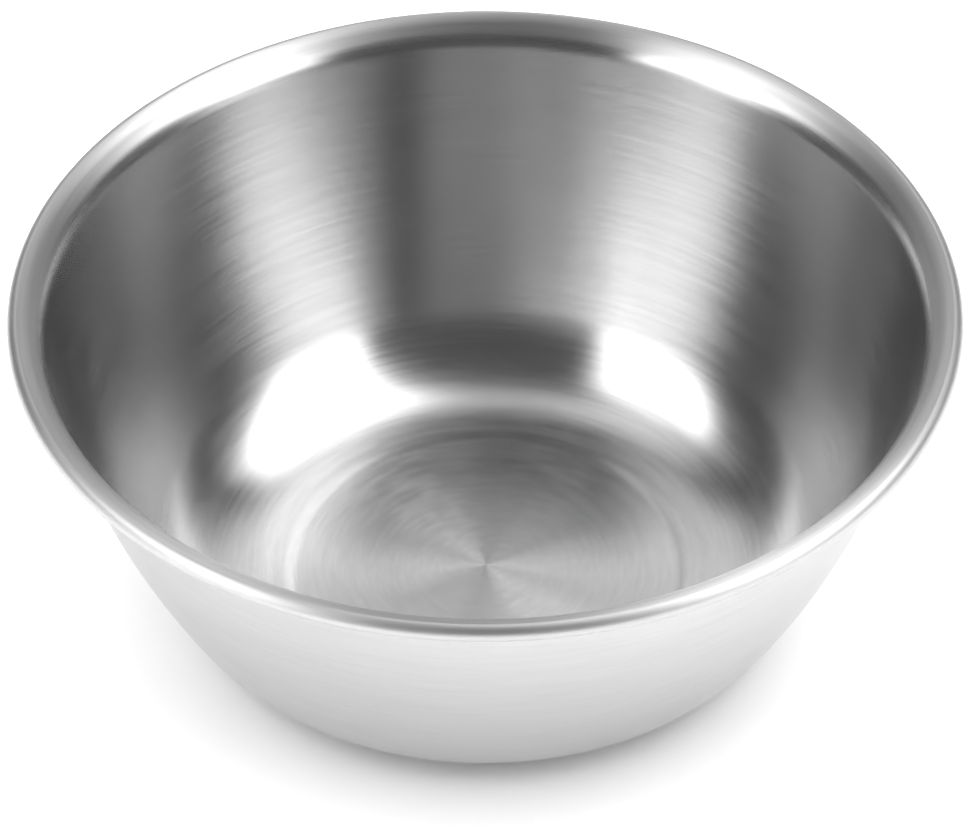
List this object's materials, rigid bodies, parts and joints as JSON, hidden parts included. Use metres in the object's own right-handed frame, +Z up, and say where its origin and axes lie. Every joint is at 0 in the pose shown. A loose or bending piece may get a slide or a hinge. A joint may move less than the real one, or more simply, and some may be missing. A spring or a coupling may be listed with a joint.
{
  "type": "mixing bowl",
  "caption": "Deep round mixing bowl of satin stainless steel sheet, with a barrelled wall, a flared and rolled rim, and a raised floor panel inside the flat ring it stands on.",
  "frame": {"origin": "centre of the bowl on the plane that it stands on", "axes": "+Z up along the bowl's centre line; X and Y are any two level directions, because the bowl is round"},
  "size_m": [0.24, 0.24, 0.094],
  "materials": {
    "satin_stainless": "satin, with fine brush lines that run round the bowl"
  },
  "bodies": {
    "root": {"base_panel": "satin_stainless", "standing_ring": "satin_stainless", "foot_bend": "satin_stainless", "lower_wall": "satin_stainless", "side_wall": "satin_stainless", "rim_flare": "satin_stainless", "rolled_rim": "satin_stainless"}
  },
  "joints": []
}
